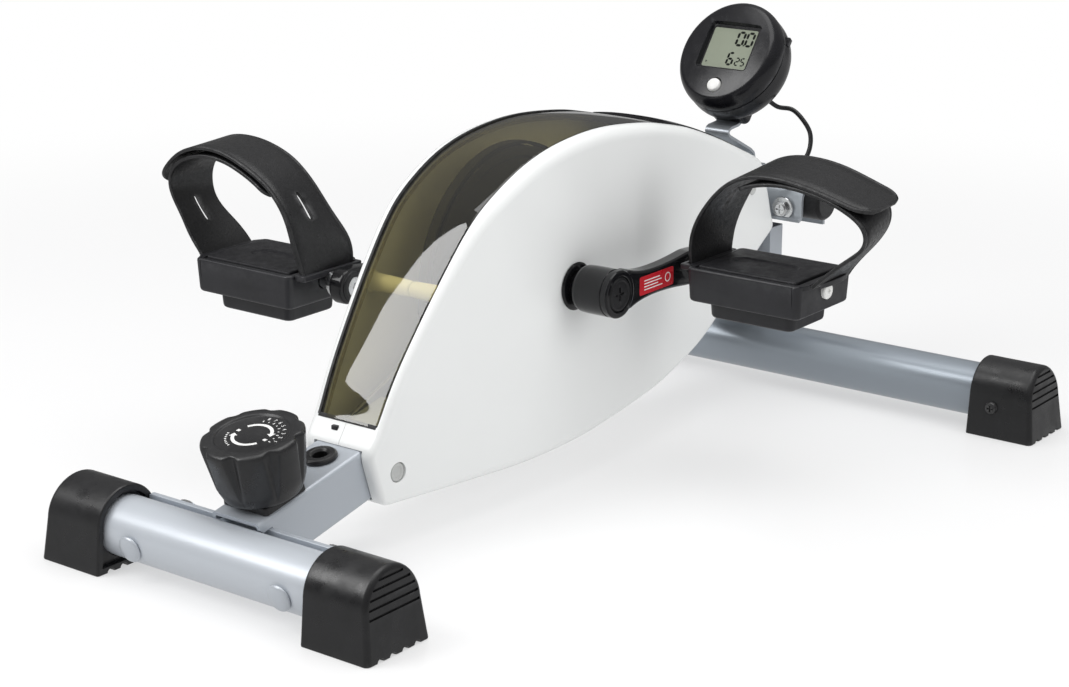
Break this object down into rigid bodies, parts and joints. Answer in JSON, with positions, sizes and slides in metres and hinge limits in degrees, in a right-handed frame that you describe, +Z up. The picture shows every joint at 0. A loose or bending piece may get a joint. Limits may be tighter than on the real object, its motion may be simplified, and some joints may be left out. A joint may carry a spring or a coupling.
{
  "type": "pedal exerciser",
  "caption": "Under-desk pedal exerciser: steel frame on two cross tubes, white housing with smoked cover, strapped pedals, belt-driven magnet-braked flywheel, tension knob and display",
  "frame": {"origin": "centre of the footprint of the four rubber feet, on the floor", "axes": "+Z up, +X to the user's right, +Y away from the user towards the display; the user-side feet are at -Y"},
  "size_m": [0.5134, 0.604, 0.2841],
  "materials": {
    "frame_paint": "satin metallic light blue-grey paint",
    "cap_rubber": "semi-gloss black rubber, faintly mottled",
    "zinc": "bright zinc plating",
    "saddle_steel": "satin silver paint on bent sheet",
    "inner_steel": "plain machined steel",
    "shell_white": "glossy white moulded shell",
    "smoke": "smoked olive-grey translucent plastic, glossy",
    "trim_black": "satin black",
    "knob_black": "satin black with white scale marks on top",
    "crank_black": "gloss black paint",
    "pedal_plastic": "charcoal, fine moulded grain",
    "strap_rubber": "stippled soft black strap",
    "white_plastic": "white plastic",
    "handle_foam": "black foam sleeve",
    "pod_black": "semi-gloss black",
    "lcd": "grey-green display window",
    "belt_rubber": "black"
  },
  "bodies": {
    "frame_body": {"rear_stabilizer_tube": "frame_paint", "front_stabilizer_tube": "frame_paint", "rear_mount_plate": "frame_paint", "main_beam": "frame_paint", "front_upright": "frame_paint", "rear_foot_cap_left": "cap_rubber", "rear_foot_cap_right": "cap_rubber", "front_foot_cap_left": "cap_rubber", "front_foot_cap_right": "cap_rubber", "cable_grommet": "cap_rubber", "rear_bolt_left": "zinc", "rear_bolt_right": "zinc", "rear_nut_left": "zinc", "rear_nut_right": "zinc", "handle_bolt_left": "zinc", "handle_bolt_right": "zinc", "return_spring": "zinc", "handle_saddle": "saddle_steel", "display_bracket": "saddle_steel", "frame_plate_left": "inner_steel", "frame_plate_right": "inner_steel", "crank_bearing_left": "inner_steel", "crank_bearing_right": "inner_steel", "shell_left": "shell_white", "shell_right": "shell_white", "smoked_cover": "smoke", "trim_strip": "trim_black", "knob_collar": "trim_black", "crank_seal_left": "trim_black", "crank_seal_right": "trim_black", "screw_plug_left": "white_plastic", "screw_plug_right": "white_plastic", "handle_grip": "handle_foam", "display_front_shell": "pod_black", "display_back_shell": "pod_black", "display_lens": "lcd", "drive_belt": "belt_rubber", "tension_cable": "belt_rubber", "display_cable": "belt_rubber"},
    "crank": {"crank_axle": "inner_steel", "crank_pulley": "trim_black", "crank_arm_left": "crank_black", "crank_arm_right": "crank_black", "crank_dust_cap_left": "crank_black", "crank_dust_cap_right": "crank_black", "pedal_spindle_left": "zinc", "pedal_spindle_right": "zinc"},
    "pedal_right": {"pedal_body_right": "pedal_plastic", "pedal_strap_upper_right": "strap_rubber", "pedal_strap_lower_right": "strap_rubber", "pedal_end_cap_right": "white_plastic"},
    "pedal_left": {"pedal_body_left": "pedal_plastic", "pedal_strap_upper_left": "strap_rubber", "pedal_strap_lower_left": "strap_rubber", "pedal_end_cap_left": "white_plastic"},
    "flywheel_body": {"flywheel": "inner_steel", "flywheel_shaft": "inner_steel"},
    "knob": {"tension_knob": "knob_black"},
    "brake_arm": {"magnet_arm": "zinc"},
    "button": {"display_button": "white_plastic"}
  },
  "joints": [
    {"name": "crank_spin", "type": "hinge", "parent": "frame_body", "child": "crank", "pos_m": [0, 0.004, 0.134], "axis": [1, 0, 0], "continuous": true},
    {"name": "pedal_right_spin", "type": "hinge", "parent": "crank", "child": "pedal_right", "pos_m": [0.13675, 0.092, 0.134], "axis": [1, 0, 0], "continuous": true},
    {"name": "pedal_left_spin", "type": "hinge", "parent": "crank", "child": "pedal_left", "pos_m": [-0.13675, -0.084, 0.134], "axis": [1, 0, 0], "continuous": true},
    {"name": "flywheel_spin", "type": "hinge", "parent": "frame_body", "child": "flywheel_body", "pos_m": [0.011, 0.133, 0.133], "axis": [1, 0, 0], "continuous": true},
    {"name": "knob_turn", "type": "hinge", "parent": "frame_body", "child": "knob", "pos_m": [0, -0.24185, 0.05183], "axis": [0, -0.2082, 0.9781], "range_deg": [0, 300]},
    {"name": "brake_arm_swing", "type": "hinge", "parent": "frame_body", "child": "brake_arm", "pos_m": [0.011, 0.2075, 0.172], "axis": [1, 0, 0], "range_deg": [0, 8.4]},
    {"name": "button_press", "type": "slide", "parent": "frame_body", "child": "button", "axis": [0, 0.7986, -0.6018], "range_m": [0, 0.0012], "stiffness_N_per_m": 400}
  ],
  "couplings": [
    {"joint": "flywheel_spin", "follows": "crank_spin", "ratio": 5.3125},
    {"joint": "brake_arm_swing", "follows": "knob_turn", "ratio": 0.028}
  ]
}
